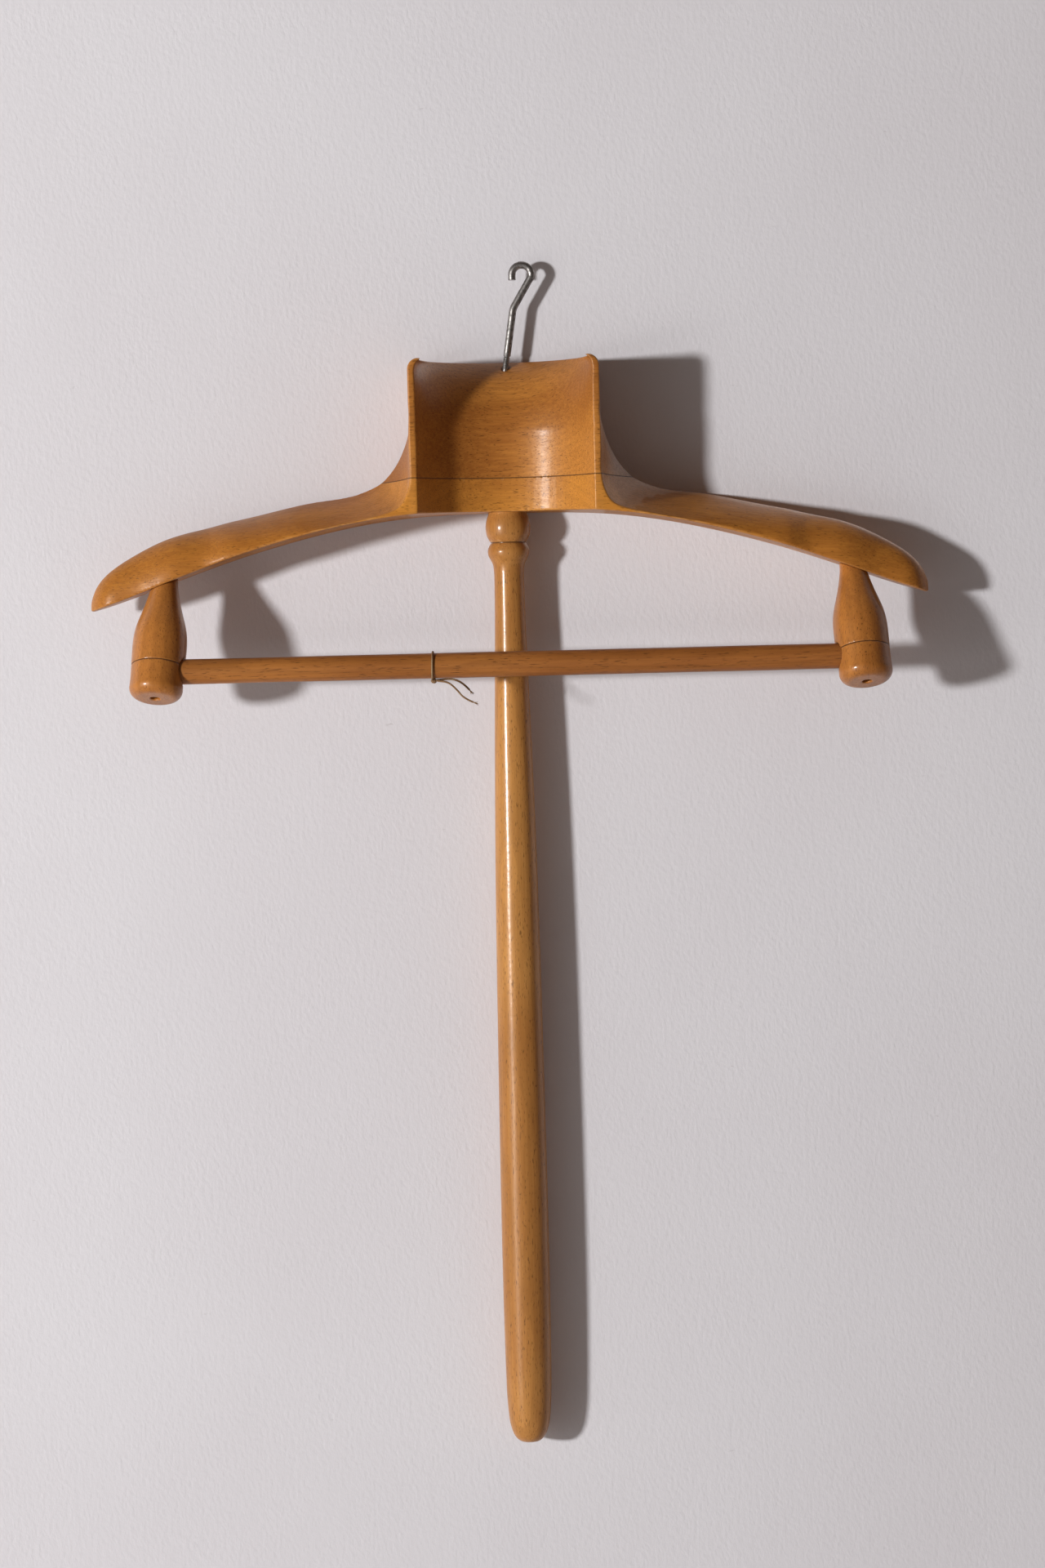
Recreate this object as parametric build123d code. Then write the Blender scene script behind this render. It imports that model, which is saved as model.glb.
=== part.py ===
"""Wall-hung valet hanger with a trouser rail: a carved collar and arms on a long turned stem.

Every piece is drawn in one working frame: X = 0 is the middle plane, Y = 0 holds the stem's axis
with the wall towards +Y, and Z = 0 is the top of the arch under the beam. At the end everything is
moved so that the origin is the hook's seat, the inside top of its loop, where it hangs.
"""

from build123d import *
from collections import namedtuple
from math import asin, cos, radians, sin, tan
import os

# ------------------------------------------------------------------ driving sizes, in mm
# collar: the upright block that carries the jacket's neck
COLLAR_HALF = 51.5        # middle plane to the outside of a rim
COLLAR_TOP = 81.5         # top edge above the arch
RIM_FRONT = -43.0         # front of the two rims
COLLAR_BACK = 15.5        # flat back, which rests on the wall
RIM_WIDTH = 4.3           # each rim, across its front
COLLAR_WALL = 30.0        # thinnest part, from the hollow face to the back
ROLL_START = 41.0         # above this height the hollow face rolls back
ROLL_RADIUS = 44.0        # radius of that roll in the middle plane
RIM_DRAFT = 0.6           # the rims are this much narrower at the front than at the back
TOP_CORNER = 6.0          # rounding of the collar's two top corners
GLUE_LINE = 18.0          # height of the joint between collar block and beam

# flare: the hollow curve from the collar's side into the arm
FLARE_RADIUS = 44.5
FLARE_CENTRE_UP = 57.0    # height of the curve's centre

# arms
HALF_SPAN = 225.0         # middle plane to the tip
FRONT_BOW = 19.0          # how far the front curves back from the rims to the tips
BACK_BOW = 22.5           # how far the back curves forward from its flat to the tips
BACK_FLAT_HALF = 35.0     # half width of the flat back
EDGE_BAND = 1.2           # narrow upright band along the arm's lower front edge

# stem
STEM_LENGTH = 505.0
STEM_TENON_RADIUS = 6.0
STEM_TENON_LENGTH = 26.0
STEM_BALL_RADIUS = 12.15
STEM_WAIST_RADIUS = 8.1
STEM_BELLY_RADIUS = 12.8

# posts that carry the rail
POST_INSET = 36.3         # post's end centre, in from the arm's tip
POST_DROP = 59.3          # post's end centre, below the arm's underside there
POST_FORWARD = -46.2      # depth of the post's end centre
POST_LEAN_OUT = 4.1       # degrees
POST_LEAN_FORWARD = 20.5  # degrees
POST_RADIUS = 14.5
POST_NECK_RADIUS = 7.0
POST_LENGTH = 65.5        # end face to the arm's underside
POST_TENON_RADIUS = 5.5
POST_TENON_LENGTH = 14.0
CAP_HEIGHT = 17.8         # end face to the seam
CAP_EDGE = 6.0            # rounding of the cap's end
CAP_FACE_RADIUS = 9.1     # flat of the cap's end face
CAP_RADIUS = 14.25        # just above the rounding

# rail
BAR_RADIUS = 6.75
BAR_SOCKET_DEPTH = 9.3    # how deep the socket goes into the post
BAR_HEIGHT = 14.9         # rail's axis above the post's end face, along the post
BAR_END_ROUND = 1.5

# screws through the caps
SCREW_SHANK_RADIUS = 1.4
SCREW_HEAD_RADIUS = 2.5
SCREW_HEAD_HEIGHT = 2.2
SCREW_RECESS = 6.5        # head sits this far up the hole
SCREW_REACH = 40.0        # screw's point above the cap's end face
SCREW_POINT = 4.0         # length of its tapered point
SCREW_POINT_RADIUS = 0.3

# dowels across the glue line
DOWEL_RADIUS = 4.0
DOWEL_LENGTH = 30.0
DOWEL_OFFSET = 34.0       # from the middle plane
DOWEL_DEPTH = -2.0

# hook
WIRE_RADIUS = 2.0
NECK_RADIUS = 1.5
HOOK_FOOT = (0.95, 79.9)  # where the neck enters the wood, X and Z
HOOK_DEPTH = 5.2
HOOK_LEAN = 8.7           # degrees, towards +X
HOOK_SHANK = 30.6         # foot to the bend
HOOK_NECK_UP = 4.7        # neck showing above the wood
HOOK_NECK_DOWN = 24.0     # neck in the wood
LOOP_INNER_RADIUS = 3.2
LOOP_SHIFT = 5.0          # loop's centre, sideways from the bend
LOOP_RISE = 18.1          # loop's centre above the bend
HOOK_BEND_RADIUS = 9.0
HOOK_TIP_DROP = 2.8       # the point ends this far below the loop's centre
LOOP_LEAD = 1.0           # short upright stretch before the loop
LOOP_LEAD_RADIUS = 1.5    # bend into that stretch

# string left tied round the rail
STRING_RADIUS = 0.5
STRING_PLACE = -41.0      # along the rail
STRING_SLACK = 0.2        # between the string and the rail
STRING_BITE = 0.05        # kept clear of the rail, on the radius
STRING_TAILS = (          # bends of the two loose ends, from the knot: across, forward, up
    ((0, -1.5, -0.3), (7, -2.6, -1.0), (13, -3.5, -8.0), (21, -4.5, -12.2)),
    ((0, 1.5, -0.3), (9, 3.2, 0.4), (14, 3.6, -1.6), (19, 3.8, -6.0)),
)
BEND_SHARE = 0.45         # of the shorter run beside a bend that its arc takes up
KNOT_RADIUS = 1.5

# clearances
SOCKET_GAP = 0.3          # rail in its sockets, on the radius and at each end
NECK_GAP = 0.05           # hook's neck in the wood, on the radius
SCREW_GAP = 0.1           # screw in the cap, on the radius
JOINT_END_GAP = 0.5       # below a dowel or tenon, for glue
SPARE = 8.0               # tools run past the surface they cut by this much
TOOL_SIZE = 400.0         # large cutting blocks measure this much
CORE_SETBACK = 3.0        # the collar's core starts this far behind the rims' front
ROLL_STEPS = 5            # level cuts that shape the roll, below its rounded corners
CLOSE = 0.1               # two heights this near count as the same

# ------------------------------------------------------------------ shape of the arms
# Stations along an arm, from the collar's side (0) to the tip (1): how far the underside has
# dropped, the arm's height, how full the front is (0 is a straight slope, 1 a quarter round),
# and how far back the crest lies, as a part of the arm's thickness.
Station = namedtuple("Station", "along drop height full crest")
ARM_STATIONS = (
    Station(0.325, 10.8, 18.4, 0.45, 0.94),
    Station(0.452, 16.6, 19.2, 0.70, 0.80),
    Station(0.579, 23.3, 20.9, 0.88, 0.66),
    Station(0.706, 31.0, 23.2, 1.00, 0.56),
    Station(0.810, 37.6, 23.3, 1.00, 0.50),
    Station(0.896, 43.0, 20.7, 1.00, 0.50),
    Station(0.957, 46.3, 16.1, 1.00, 0.50),
    Station(0.986, 47.8, 11.0, 1.00, 0.50),
    Station(1.000, 48.5, 5.5, 1.00, 0.50),
)
BACK_SHOULDER = 3.0       # the arm's top falls this much from its crest to its back edge at the tip
NEAR_DROP = 2.0           # underside's drop just outside the collar
NEAR_ALONG = 0.04
TIP_NOSE = 9.0            # radius of the tip seen from above

# Cuts through the flare: the angle about its centre, the ridge's distance from it (None where
# the ridge runs straight up the rim) and how full the slope from the ridge to the back is.
FLARE_CUTS = (
    (0, None, 0.0),
    (15, None, 0.0),
    (30, None, 0.0),
    (42, None, 0.0),
    (50.5, 66.0, 0.0),
    (60, 66.3, 0.02),
    (70, 64.0, 0.1),
    (80, 63.3, 0.22),
)

# Stem outline: distance from the top and radius, for the ball, the cut line's far edge, the bead
# and what lies below them.
BALL_OUTLINE = ((0.0, 10.15), (8.0, STEM_BALL_RADIUS), (16.0, 9.5))
CUT_LINE = (17.2, 9.9)
BEAD_OUTLINE = ((21.5, 11.25), (25.6, 9.6))
STEM_OUTLINE = (
    (29.5, STEM_WAIST_RADIUS),
    (56.5, STEM_WAIST_RADIUS + 0.2),
    (0.24 * STEM_LENGTH, 9.95),
    (0.416 * STEM_LENGTH, 11.6),
    (0.59 * STEM_LENGTH, 12.35),
    (0.772 * STEM_LENGTH, STEM_BELLY_RADIUS),
    (STEM_LENGTH - 31.0, 12.2),
    (STEM_LENGTH - 15.0, 11.3),
)
NOSE_OUTLINE = ((STEM_LENGTH - 6.5, 9.2), (STEM_LENGTH, 4.0))
STEM_HEAD = 0.5           # wood left above the stem's shoulder, cut to the arch afterwards
# Post outline above the cap's rounding: distance from the end face and radius.
POST_OUTLINE = (
    (CAP_EDGE, CAP_RADIUS),
    (27.0, POST_RADIUS),
    (38.0, 13.8),
    (48.0, 11.05),
    (58.5, 8.2),
    (POST_LENGTH, POST_NECK_RADIUS),
)

ARM_LENGTH = HALF_SPAN - COLLAR_HALF
FLARE_CENTRE = (COLLAR_HALF + FLARE_RADIUS, FLARE_CENTRE_UP)
INNER = COLLAR_HALF / 2


def along_arm(part):
    """X of a place along the arm, given from 0 at the collar's side to 1 at the tip."""
    return COLLAR_HALF + part * ARM_LENGTH


def front_depth(x):
    """Depth of the beam's front at X."""
    outside = max(0.0, x - COLLAR_HALF)
    return RIM_FRONT + FRONT_BOW * (outside / ARM_LENGTH) ** 2


def on_trace(foot, tilt, distance):
    """Point X, Z at a distance along a line that starts at foot and rises by tilt degrees."""
    return foot[0] + distance * cos(radians(tilt)), foot[1] + distance * sin(radians(tilt))


def back_depth(x):
    """Depth of the beam's back at X."""
    outside = max(0.0, x - BACK_FLAT_HALF)
    return COLLAR_BACK - BACK_BOW * (outside / (HALF_SPAN - BACK_FLAT_HALF)) ** 2


def cut_wire(foot, tilt, ridge, crest, front, full=0, crest_depth=None, fall=0):
    """One closed cut across the arm, in the plane that holds Y and the line from foot at tilt.

    ridge and crest are distances along that line and full shapes the front between them.
    Behind crest_depth the top falls to the back.
    """
    plane = Plane(
        origin=(foot[0], 0, foot[1]),
        x_dir=(cos(radians(tilt)), 0, sin(radians(tilt))),
        z_dir=(-sin(radians(tilt)), 0, cos(radians(tilt))),
    )
    back = COLLAR_BACK + SPARE
    start = Vector(ridge, front)
    if crest_depth is None:
        crest_depth = front + (back - front) * 0.9
        end = start + (Vector(crest, back) - start) * 0.9
    else:
        end = Vector(crest, crest_depth)
    corner = Vector(end.X, front)
    third = (end - start) / 3
    round_hold = 0.55
    first_hold = start + third * (1 - full) + (corner - start) * (round_hold * full)
    second_hold = end - third * (1 - full) + (corner - end) * (round_hold * full)
    top_back = Vector(crest - fall, back)
    leave = (end - second_hold).normalized() * (back - crest_depth) * 0.4
    band = Line((0, front), (ridge, front))
    face = Bezier(start, first_hold, second_hold, end)
    shoulder = Bezier(end, end + leave, top_back + (end - top_back) * 0.3, top_back)
    back_line = Line(top_back, (0, back))
    base = Line((0, back), (0, front))
    return plane.from_local_coords(Wire([band, face, shoulder, back_line, base]))


def flare_cuts():
    """Cuts of the right flare, from the collar's side round to the root of the arm."""
    cuts = []
    for angle, ridge, full in FLARE_CUTS:
        if ridge is None:
            ridge = (FLARE_RADIUS + RIM_DRAFT) / cos(radians(angle))
        to_inner = (FLARE_CENTRE[0] - INNER) / cos(radians(angle))
        to_low = (FLARE_CENTRE_UP + NEAR_DROP + SPARE) / sin(radians(max(angle, 1)))
        reach = max(min(to_inner, to_low), ridge + SPARE)
        foot = on_trace(FLARE_CENTRE, angle, -reach)
        ridge_x = on_trace(FLARE_CENTRE, angle, -ridge)[0]
        cuts.append(
            cut_wire(foot, angle, reach - ridge, reach - FLARE_RADIUS, front_depth(ridge_x), full)
        )
    return cuts


def arm_cuts():
    """Cuts of the right arm, from beyond the flare to the tip."""
    cuts = []
    for station in ARM_STATIONS:
        x = along_arm(station.along)
        nose = TIP_NOSE * max(0.0, (station.along - 0.93) / 0.07) ** 3
        front = front_depth(x) + nose
        back = back_depth(x)
        crest_depth = front + station.crest * (back - front)
        past_back = (COLLAR_BACK + SPARE - crest_depth) / (back - crest_depth)
        cuts.append(
            cut_wire(
                (x, -station.drop - SPARE),
                90,
                SPARE + EDGE_BAND,
                SPARE + station.height,
                front,
                station.full,
                crest_depth,
                BACK_SHOULDER * station.along**2 * min(past_back, 2.5),
            )
        )
    return cuts


def underside():
    """The curve under the beam, from tip to tip, as an edge in the XZ plane."""
    half = [(along_arm(NEAR_ALONG), -NEAR_DROP)]
    half += [(along_arm(s.along), -s.drop) for s in ARM_STATIONS if s.along < 0.9 or s.along == 1]
    points = [(-x, 0, z) for x, z in reversed(half)] + [(0, 0, 0)] + [(x, 0, z) for x, z in half]
    return Spline(points)


def underside_height(x):
    """Height of the underside at X."""
    curve = underside()
    low, high = 0.5, 1.0
    for _ in range(40):
        middle = (low + high) / 2
        if curve.position_at(middle).X < x:
            low = middle
        else:
            high = middle
    return curve.position_at(low).Z


def back_outline(side):
    """What lies behind the flat and bowed back, seen from above, on one side of the middle."""
    bow_run = HALF_SPAN - BACK_FLAT_HALF
    bow_radius = (bow_run**2 + BACK_BOW**2) / (2 * BACK_BOW)
    centre = (BACK_FLAT_HALF, COLLAR_BACK - bow_radius)
    sweep_angle = 1.1 * asin(bow_run / bow_radius)

    def on_bow(angle):
        return side * (centre[0] + bow_radius * sin(angle)), centre[1] + bow_radius * cos(angle)

    start, end = on_bow(0), on_bow(sweep_angle)
    bow = ThreePointArc(start, on_bow(sweep_angle / 2), end)
    far_x, far_y = side * (HALF_SPAN + 4 * SPARE), COLLAR_BACK + 3 * SPARE
    rest = Polyline(end, (far_x, end[1]), (far_x, far_y), (0, far_y), (0, COLLAR_BACK), start)
    return Face(Wire([bow] + list(rest.edges())))


def hollow_cut(height):
    """Level cut through the space in front of the hollow face, at one height."""
    into_corner = max(0.0, height - COLLAR_TOP + TOP_CORNER)
    corner_inset = TOP_CORNER - (TOP_CORNER**2 - into_corner**2) ** 0.5
    half = COLLAR_HALF - RIM_WIDTH - corner_inset
    risen = max(0.0, height - ROLL_START)
    deep = COLLAR_BACK - COLLAR_WALL + ROLL_RADIUS - (ROLL_RADIUS**2 - risen**2) ** 0.5
    face = ThreePointArc((-half, RIM_FRONT), (0, deep), (half, RIM_FRONT))
    clear = RIM_FRONT - SPARE
    front = Polyline((half, RIM_FRONT), (half, clear), (-half, clear), (-half, RIM_FRONT))
    return Pos(0, 0, height) * Face(Wire([face] + list(front.edges())))


def hollow():
    """What is carved out between the rims: straight up to ROLL_START, then rolling back."""
    low = -2 * SPARE
    straight = extrude(hollow_cut(low), ROLL_START - low, dir=(0, 0, 1))
    corner_start = COLLAR_TOP - TOP_CORNER
    rise = corner_start - ROLL_START
    heights = [ROLL_START + rise * step / ROLL_STEPS for step in range(ROLL_STEPS)]
    heights += [corner_start + TOP_CORNER * sin(radians(angle)) for angle in (0, 45, 90)]
    roll = loft([hollow_cut(height) for height in heights])
    lid = extrude(hollow_cut(COLLAR_TOP), SPARE, dir=(0, 0, 1))
    return straight + roll + lid


def carved_wood():
    """Collar and arms as one carved shape, before it is divided at the glue line.

    Two lofts share the cut where the ridge leaves the rim.
    """
    flare = flare_cuts()
    parting = sum(ridge is None for _, ridge, _ in FLARE_CUTS)
    side_rise = COLLAR_TOP + SPARE - FLARE_CENTRE_UP
    side = Solid.extrude(Face(flare[0]), Vector(0, 0, side_rise))
    upper = Solid.make_loft(flare[: parting + 1])
    arm = side + upper + Solid.make_loft(flare[parting:] + arm_cuts())
    core_front = RIM_FRONT + CORE_SETBACK
    core_depth = COLLAR_BACK + 2 * SPARE - core_front
    core_height = COLLAR_TOP + 2 * SPARE
    core = Pos(0, core_front + core_depth / 2, core_height / 2 - SPARE) * Box(
        2 * (INNER + SPARE), core_depth, core_height
    )
    blank = core + arm + mirror(arm, Plane.YZ)

    curve = underside()
    deep = -ARM_STATIONS[-1].drop - 4 * SPARE
    left, right = curve.position_at(0), curve.position_at(1)
    outline = Wire(
        [
            curve,
            Line(right, (right.X + SPARE, 0, right.Z)),
            Line((right.X + SPARE, 0, right.Z), (right.X + SPARE, 0, deep)),
            Line((right.X + SPARE, 0, deep), (left.X - SPARE, 0, deep)),
            Line((left.X - SPARE, 0, deep), (left.X - SPARE, 0, left.Z)),
            Line((left.X - SPARE, 0, left.Z), left),
        ]
    )
    below = extrude(Face(outline), TOOL_SIZE / 2, dir=(0, 1, 0), both=True)

    left_back, right_back = (
        extrude(Pos(0, 0, -TOOL_SIZE / 2) * back_outline(side), TOOL_SIZE, dir=(0, 0, 1))
        for side in (-1, 1)
    )
    behind = left_back + right_back

    above = Pos(0, 0, COLLAR_TOP + TOOL_SIZE / 2) * Box(TOOL_SIZE, TOOL_SIZE, TOOL_SIZE)
    wood = blank - below - behind - above

    top = wood.edges().filter_by(lambda edge: abs(edge.center().Z - COLLAR_TOP) < CLOSE)
    corners = [edge for edge in top if abs(abs(edge.center().X) - COLLAR_HALF) < 2 * RIM_DRAFT]
    wood = fillet(corners, TOP_CORNER)

    return wood - hollow()


def down(place):
    """A place of an outline given as distance from the top and radius, as a point to draw."""
    return place[1], -place[0]


def stem_shape():
    """The turned stem with its tenon, before the beam is fitted over it."""
    ball = ThreePointArc(*(down(place) for place in BALL_OUTLINE))
    cut_line = Line(ball @ 1, down(CUT_LINE))
    bead = ThreePointArc(cut_line @ 1, *(down(place) for place in BEAD_OUTLINE))
    cove = Spline([bead @ 1] + [down(place) for place in STEM_OUTLINE])
    nose = ThreePointArc(cove @ 1, *(down(place) for place in NOSE_OUTLINE))
    shoulder = BALL_OUTLINE[0][1]
    rest = Polyline(
        nose @ 1,
        (0, -STEM_LENGTH),
        (0, STEM_TENON_LENGTH),
        (STEM_TENON_RADIUS, STEM_TENON_LENGTH),
        (STEM_TENON_RADIUS, STEM_HEAD),
        (shoulder, STEM_HEAD),
        (shoulder, 0),
    )
    profile = Face(Wire([ball, cut_line, bead, cove, nose] + list(rest.edges())))
    return revolve(Plane.XZ * profile, Axis.Z)


def post_frame(side):
    """Plane on the post's end face, with its Z up the post. side is 1 right, -1 left."""
    up = Vector(-sin(radians(POST_LEAN_OUT)), sin(radians(POST_LEAN_FORWARD)), 0)
    up = Vector(up.X * side, up.Y, (1 - up.X**2 - up.Y**2) ** 0.5)
    x = HALF_SPAN - POST_INSET
    height = underside_height(x) - POST_DROP
    return Plane(origin=(side * x, POST_FORWARD, height), x_dir=(1, 0, 0), z_dir=up)


def post_blank():
    """Post and cap in one, drawn upright on its end face."""
    edge = ThreePointArc(
        (CAP_FACE_RADIUS, 0),
        (CAP_RADIUS - CAP_EDGE / 4, CAP_EDGE * 0.28),
        (CAP_RADIUS, CAP_EDGE),
    )
    body = Spline([(radius, height) for height, radius in POST_OUTLINE])
    top = POST_LENGTH + SPARE
    rest = Polyline(
        (POST_NECK_RADIUS, POST_LENGTH),
        (POST_NECK_RADIUS, top),
        (0, top),
        (0, 0),
        (CAP_FACE_RADIUS, 0),
    )
    profile = Face(Wire([edge, body] + list(rest.edges())))
    return revolve(Plane.XZ * profile, Axis.Z)


def upright(radius, low, high):
    """A cylinder on the Z axis between two heights."""
    return Pos(0, 0, (low + high) / 2) * Cylinder(radius, high - low)


def rail_centre():
    """Where the rail's axis meets the right post's axis."""
    frame = post_frame(1)
    return frame.origin + frame.z_dir * BAR_HEIGHT


def rail_socket():
    """Half length of the sockets' bottoms from the middle plane."""
    return rail_centre().X - POST_RADIUS + BAR_SOCKET_DEPTH


def along_rail(radius, half_length):
    """A cylinder on the rail's axis."""
    centre = rail_centre()
    return Pos(0, centre.Y, centre.Z) * Rot(0, 90, 0) * Cylinder(radius, 2 * half_length)


def screw_shape():
    """Wood screw, drawn upright with its point up."""
    head_top = SCREW_RECESS + SCREW_HEAD_HEIGHT
    outline = Polyline(
        (0, SCREW_RECESS),
        (SCREW_HEAD_RADIUS, SCREW_RECESS),
        (SCREW_SHANK_RADIUS, head_top),
        (SCREW_SHANK_RADIUS, SCREW_REACH - SCREW_POINT),
        (SCREW_POINT_RADIUS, SCREW_REACH),
        (0, SCREW_REACH),
        (0, SCREW_RECESS),
    )
    return revolve(Plane.XZ * Face(Wire(outline.edges())), Axis.Z)


def post_pieces(side, beam):
    """Post, cap and screw on one side, fitted to the beam, the rail and each other."""
    frame = post_frame(side)
    blank = post_blank()
    lower = upright(POST_RADIUS * 2, -1, CAP_HEIGHT)
    socket = along_rail(BAR_RADIUS + SOCKET_GAP, rail_socket() + SOCKET_GAP)
    tenon = upright(POST_TENON_RADIUS, POST_LENGTH - SPARE, POST_LENGTH + POST_TENON_LENGTH)
    pilot = upright(SCREW_SHANK_RADIUS, 0, SCREW_REACH + JOINT_END_GAP)
    recess = upright(SCREW_HEAD_RADIUS + SCREW_GAP, -1, SCREW_RECESS)
    head_top = SCREW_RECESS + SCREW_HEAD_HEIGHT
    seat = Pos(0, 0, SCREW_RECESS + SCREW_HEAD_HEIGHT / 2) * Cone(
        SCREW_HEAD_RADIUS + SCREW_GAP, SCREW_SHANK_RADIUS + SCREW_GAP, SCREW_HEAD_HEIGHT
    )
    way = upright(SCREW_SHANK_RADIUS + SCREW_GAP, head_top, CAP_HEIGHT + 1)
    cap = frame.location * ((blank & lower) - recess - seat - way) - socket
    post = frame.location * (blank - lower) - beam - socket
    post = post + frame.location * tenon - frame.location * pilot
    screw = frame.location * screw_shape()
    return post, cap, screw


def post_mortise(side):
    """Hole in the arm for the post's tenon."""
    frame = post_frame(side)
    return frame.location * upright(
        POST_TENON_RADIUS, POST_LENGTH - SPARE, POST_LENGTH + POST_TENON_LENGTH + JOINT_END_GAP
    )


def dowels(extra):
    """The two dowels across the glue line, or their holes when extra is more than 0."""
    half = DOWEL_LENGTH / 2 + extra
    dowel = upright(DOWEL_RADIUS, GLUE_LINE - half, GLUE_LINE + half)
    return [Pos(side * DOWEL_OFFSET, DOWEL_DEPTH, 0) * dowel for side in (-1, 1)]


def hook_axis():
    """Where the hook's neck enters the wood, and the direction of its shank."""
    lean = radians(HOOK_LEAN)
    return Vector(HOOK_FOOT[0], HOOK_DEPTH, HOOK_FOOT[1]), Vector(sin(lean), 0, cos(lean))


def hook_loop():
    """Centre of the hook's loop."""
    foot, up = hook_axis()
    return foot + up * HOOK_SHANK + Vector(LOOP_SHIFT, 0, LOOP_RISE)


def neck_cylinder(radius, low, high):
    """A cylinder on the hook's shank axis between two distances from the wood's surface."""
    foot, up = hook_axis()
    return Plane(origin=foot, z_dir=up).location * upright(radius, low, high)


def hook_shape():
    """The bent wire hook with its thinner threaded neck."""
    foot, up = hook_axis()
    loop = hook_loop()
    across = Vector(LOOP_INNER_RADIUS + WIRE_RADIUS, 0, 0)
    rise = Vector(0, 0, LOOP_INNER_RADIUS + WIRE_RADIUS)
    bend = foot + up * HOOK_SHANK
    shank = FilletPolyline(
        [foot + up * HOOK_NECK_UP, bend, loop + across - Vector(0, 0, LOOP_LEAD), loop + across],
        radius=[HOOK_BEND_RADIUS, LOOP_LEAD_RADIUS],
    )
    top = ThreePointArc(loop + across, loop + rise, loop - across)
    tip = Line(loop - across, loop - across - Vector(0, 0, HOOK_TIP_DROP))
    path = Wire(list(shank.edges()) + [top, tip])
    section = Plane(origin=path @ 0, z_dir=path % 0) * Circle(WIRE_RADIUS)
    wire = sweep(section, path=path, transition=Transition.RIGHT)
    return wire + neck_cylinder(NECK_RADIUS, -HOOK_NECK_DOWN, HOOK_NECK_UP)


def rail_shape():
    """The trouser rail with rounded ends."""
    rail = along_rail(BAR_RADIUS, rail_socket())
    return fillet(rail.edges().filter_by(GeomType.CIRCLE), BAR_END_ROUND)


def bend_radii(route):
    """Radius for each bend of a route, as large as the runs beside it allow."""
    radii = []
    for before, bend, after in zip(route, route[1:], route[2:]):
        shorter = min((bend - before).length, (after - bend).length)
        half_turn = radians((bend - before).get_angle(after - bend)) / 2
        radii.append(BEND_SHARE * shorter / tan(half_turn))
    return radii


def string_routes():
    """Routes of the string's two loose ends, from the knot."""
    centre = rail_centre()
    under = centre.Z - BAR_RADIUS - STRING_RADIUS - STRING_SLACK
    knot = Vector(STRING_PLACE, centre.Y, under)
    return [[knot + Vector(*bend) for bend in bends] for bends in STRING_TAILS]


def string_shape():
    """String tied round the rail, with its two loose ends."""
    centre = rail_centre()
    turn = BAR_RADIUS + STRING_RADIUS + STRING_SLACK
    ring = Rot(0, 90, 0) * Torus(turn, STRING_RADIUS)
    whole = Pos(STRING_PLACE, centre.Y, centre.Z) * ring
    whole += Pos(STRING_PLACE, centre.Y, centre.Z - turn) * Sphere(KNOT_RADIUS)
    for route in string_routes():
        path = FilletPolyline(route, radius=bend_radii(route))
        section = Plane(origin=path @ 0, z_dir=path % 0) * Circle(STRING_RADIUS)
        whole += sweep(section, path=path, transition=Transition.RIGHT)
    return whole - along_rail(BAR_RADIUS + STRING_BITE, HALF_SPAN)


def build():
    """All pieces by name, in the working frame."""
    wood = carved_wood()
    post_holes = [post_mortise(side) for side in (-1, 1)]
    dowel_holes = dowels(JOINT_END_GAP)
    stem_hole = upright(STEM_TENON_RADIUS, -1, STEM_TENON_LENGTH + JOINT_END_GAP)
    neck_hole = neck_cylinder(NECK_RADIUS + NECK_GAP, -HOOK_NECK_DOWN - JOINT_END_GAP, SPARE)

    upper_half = Pos(0, 0, GLUE_LINE + TOOL_SIZE / 2) * Box(3 * HALF_SPAN, TOOL_SIZE, TOOL_SIZE)
    beam = wood - upper_half
    block = wood & upper_half
    for hole in post_holes + dowel_holes + [stem_hole]:
        beam = beam - hole
    for hole in dowel_holes + [stem_hole, neck_hole]:
        block = block - hole

    pieces = {
        "shoulder_beam": beam,
        "collar_block": block,
        "collar_dowels": Compound(children=dowels(0)),
        "stem": stem_shape() - wood + upright(STEM_TENON_RADIUS, -1, STEM_TENON_LENGTH),
        "hanging_hook": hook_shape(),
        "trouser_bar": rail_shape(),
        "tie_string": string_shape(),
    }
    for name, side in (("left", -1), ("right", 1)):
        post, cap, screw = post_pieces(side, wood)
        pieces[f"{name}_post"] = post
        pieces[f"{name}_post_cap"] = cap
        pieces[f"{name}_cap_screw"] = screw
    return pieces


def main():
    os.makedirs("parts", exist_ok=True)
    seat = hook_loop() + Vector(0, 0, LOOP_INNER_RADIUS)
    to_seat = Location((-seat.X, -seat.Y, -seat.Z))
    for name, shape in build().items():
        export_step(shape.moved(to_seat), f"parts/{name}.step")
    foot, up = hook_axis()
    print("hook axis point", foot - seat, "direction", up)
    print("rail axis", rail_centre() - seat)
    print("flat back", COLLAR_BACK - seat.Y)
    print("string thickness", 2 * STRING_RADIUS)
    for route in string_routes():
        print("string bend radii", [round(radius, 1) for radius in bend_radii(route)])


main()
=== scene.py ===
"""Looks of the wall valet: varnished beech, steel wire and a scrap of twine, hung on its wall.

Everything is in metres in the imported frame: the origin is the hook's seat, X runs along the arms
and the wall lies just behind the flat back of the collar, towards +Y.
"""
from math import cos, pi, radians, sin
import bmesh
import bpy
from mathutils import Matrix, Vector


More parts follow.
